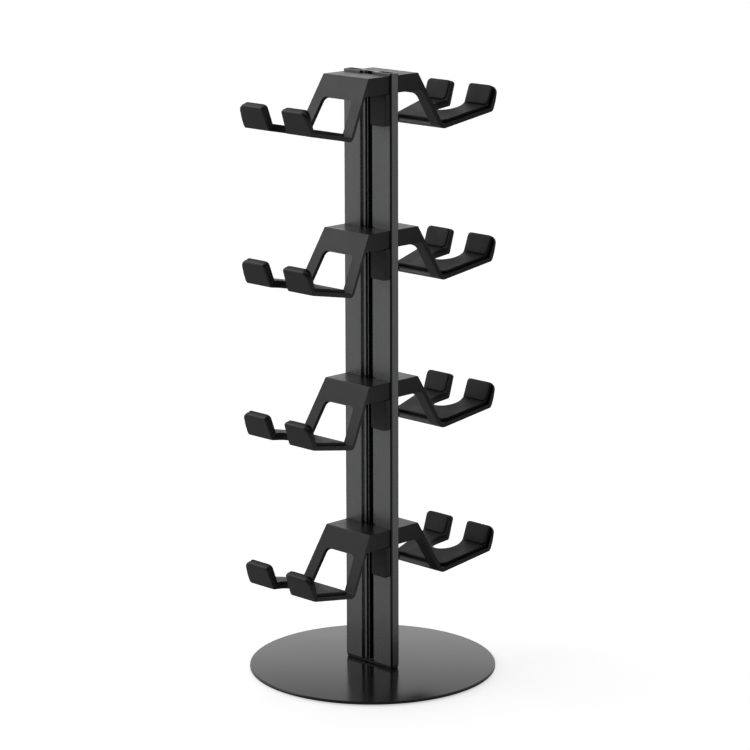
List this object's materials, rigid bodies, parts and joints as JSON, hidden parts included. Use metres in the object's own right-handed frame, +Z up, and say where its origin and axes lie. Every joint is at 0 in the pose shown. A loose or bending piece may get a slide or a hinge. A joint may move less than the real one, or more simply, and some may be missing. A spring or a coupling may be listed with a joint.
{
  "type": "rotating display rack",
  "caption": "Double-sided rack for small held devices: round foot, slotted flat column that turns, and height-adjustable padded cradle brackets on both faces.",
  "frame": {"origin": "centre of the foot's lower face, on the column's turning axis", "axes": "+Z up the column, -Y out of the front face, +X along the column's wide face"},
  "size_m": [0.25, 0.2654, 0.608],
  "materials": {
    "anodised_black": "fine satin black anodised",
    "coated_steel": "smooth satin black coating",
    "moulded_black": "fine spark-textured black moulding",
    "liner_rubber": "soft matte black moulded rubber",
    "mat_rubber": "matte black sheet rubber",
    "bright_steel": "zinc plated steel",
    "swivel_plastic": "black low-friction plastic"
  },
  "bodies": {
    "foot": {"base_disc": "coated_steel", "base_mat": "mat_rubber", "swivel_bush": "swivel_plastic"},
    "turning_column": {"column": "anodised_black", "swivel_plate": "coated_steel", "swivel_stud": "bright_steel", "glide_strip": "swivel_plastic", "foot_block_left": "bright_steel", "foot_block_right": "bright_steel", "foot_screw_left": "bright_steel", "foot_screw_right": "bright_steel"},
    "front_1_bracket": {"front_1_frame": "moulded_black", "front_1_liner": "liner_rubber", "front_1_lock_block": "moulded_black", "front_1_slide_nut": "bright_steel", "front_1_clamp_screw": "bright_steel"},
    "front_2_bracket": {"front_2_frame": "moulded_black", "front_2_liner": "liner_rubber", "front_2_lock_block": "moulded_black", "front_2_slide_nut": "bright_steel", "front_2_clamp_screw": "bright_steel"},
    "front_3_bracket": {"front_3_frame": "moulded_black", "front_3_liner": "liner_rubber", "front_3_lock_block": "moulded_black", "front_3_slide_nut": "bright_steel", "front_3_clamp_screw": "bright_steel"},
    "front_4_bracket": {"front_4_frame": "moulded_black", "front_4_liner": "liner_rubber", "front_4_lock_block": "moulded_black", "front_4_slide_nut": "bright_steel", "front_4_clamp_screw": "bright_steel"},
    "rear_1_bracket": {"rear_1_frame": "moulded_black", "rear_1_liner": "liner_rubber", "rear_1_lock_block": "moulded_black", "rear_1_slide_nut": "bright_steel", "rear_1_clamp_screw": "bright_steel"},
    "rear_2_bracket": {"rear_2_frame": "moulded_black", "rear_2_liner": "liner_rubber", "rear_2_lock_block": "moulded_black", "rear_2_slide_nut": "bright_steel", "rear_2_clamp_screw": "bright_steel"},
    "rear_3_bracket": {"rear_3_frame": "moulded_black", "rear_3_liner": "liner_rubber", "rear_3_lock_block": "moulded_black", "rear_3_slide_nut": "bright_steel", "rear_3_clamp_screw": "bright_steel"},
    "rear_4_bracket": {"rear_4_frame": "moulded_black", "rear_4_liner": "liner_rubber", "rear_4_lock_block": "moulded_black", "rear_4_slide_nut": "bright_steel", "rear_4_clamp_screw": "bright_steel"}
  },
  "joints": [
    {"name": "column_swivel", "type": "hinge", "parent": "foot", "child": "turning_column", "pos_m": [0, 0, 0.0045], "axis": [0, 0, 1], "continuous": true},
    {"name": "front_1_height", "type": "slide", "parent": "turning_column", "child": "front_1_bracket", "axis": [0, 0, 1], "range_m": [-0.04, 0.04]},
    {"name": "front_2_height", "type": "slide", "parent": "turning_column", "child": "front_2_bracket", "axis": [0, 0, 1], "range_m": [-0.04, 0.04]},
    {"name": "front_3_height", "type": "slide", "parent": "turning_column", "child": "front_3_bracket", "axis": [0, 0, 1], "range_m": [-0.04, 0.04]},
    {"name": "front_4_height", "type": "slide", "parent": "turning_column", "child": "front_4_bracket", "axis": [0, 0, 1], "range_m": [-0.04, 0.002]},
    {"name": "rear_1_height", "type": "slide", "parent": "turning_column", "child": "rear_1_bracket", "axis": [0, 0, 1], "range_m": [-0.04, 0.04]},
    {"name": "rear_2_height", "type": "slide", "parent": "turning_column", "child": "rear_2_bracket", "axis": [0, 0, 1], "range_m": [-0.04, 0.04]},
    {"name": "rear_3_height", "type": "slide", "parent": "turning_column", "child": "rear_3_bracket", "axis": [0, 0, 1], "range_m": [-0.04, 0.04]},
    {"name": "rear_4_height", "type": "slide", "parent": "turning_column", "child": "rear_4_bracket", "axis": [0, 0, 1], "range_m": [-0.04, 0.002]}
  ]
}
